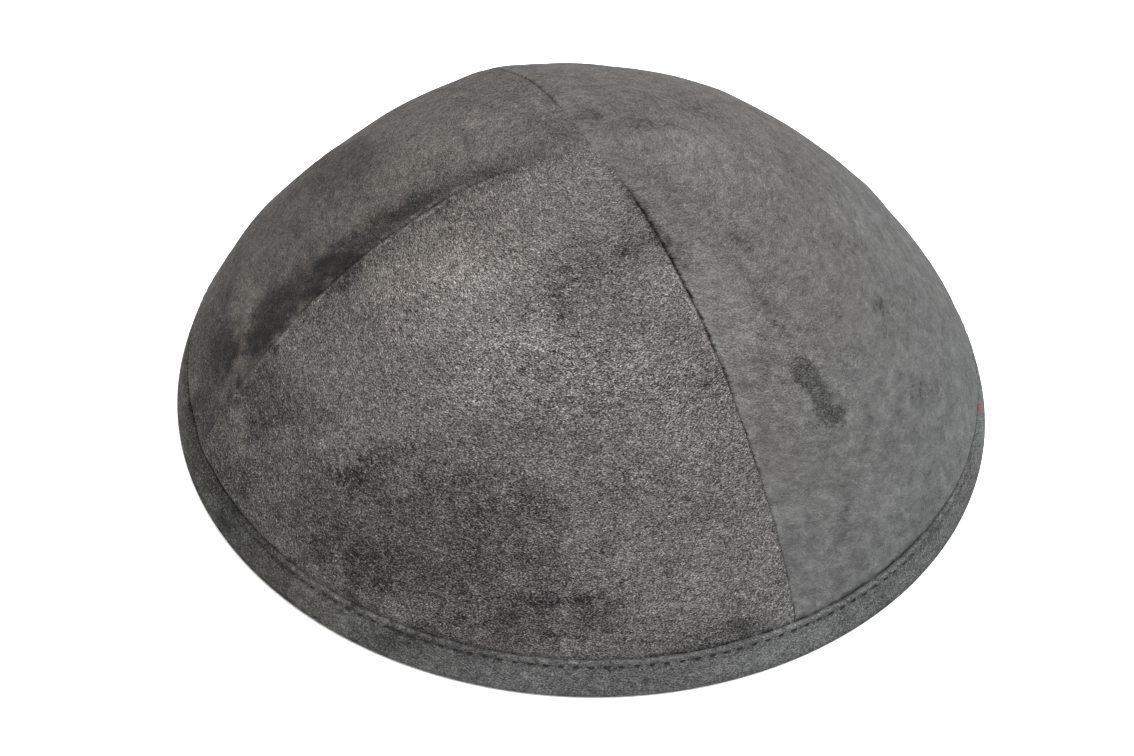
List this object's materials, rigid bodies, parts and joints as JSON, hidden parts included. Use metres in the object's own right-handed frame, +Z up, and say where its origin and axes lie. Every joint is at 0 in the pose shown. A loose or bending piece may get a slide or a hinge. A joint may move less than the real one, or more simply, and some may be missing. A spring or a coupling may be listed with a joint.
{
  "type": "kippah skullcap",
  "caption": "Round domed skullcap sewn from curved suede-cloth crown panels, with a folded and topstitched binding round its open rim.",
  "frame": {"origin": "centre of the rim, on the surface that the cap rests on", "axes": "+Z up through the apex of the crown, -Y towards the middle of the front of the cap, +X to the right as seen from the front"},
  "size_m": [0.1799, 0.18, 0.0717],
  "materials": {
    "crown_suede": "matt charcoal suede cloth with a soft, blotchy nap",
    "binding_suede": "matt charcoal suede cloth, folded round the rim",
    "thread": "fine near-black sewing thread"
  },
  "bodies": {
    "root": {"panel_front": "crown_suede", "panel_right": "crown_suede", "panel_back": "crown_suede", "panel_left": "crown_suede", "rim_binding": "binding_suede"}
  },
  "joints": []
}
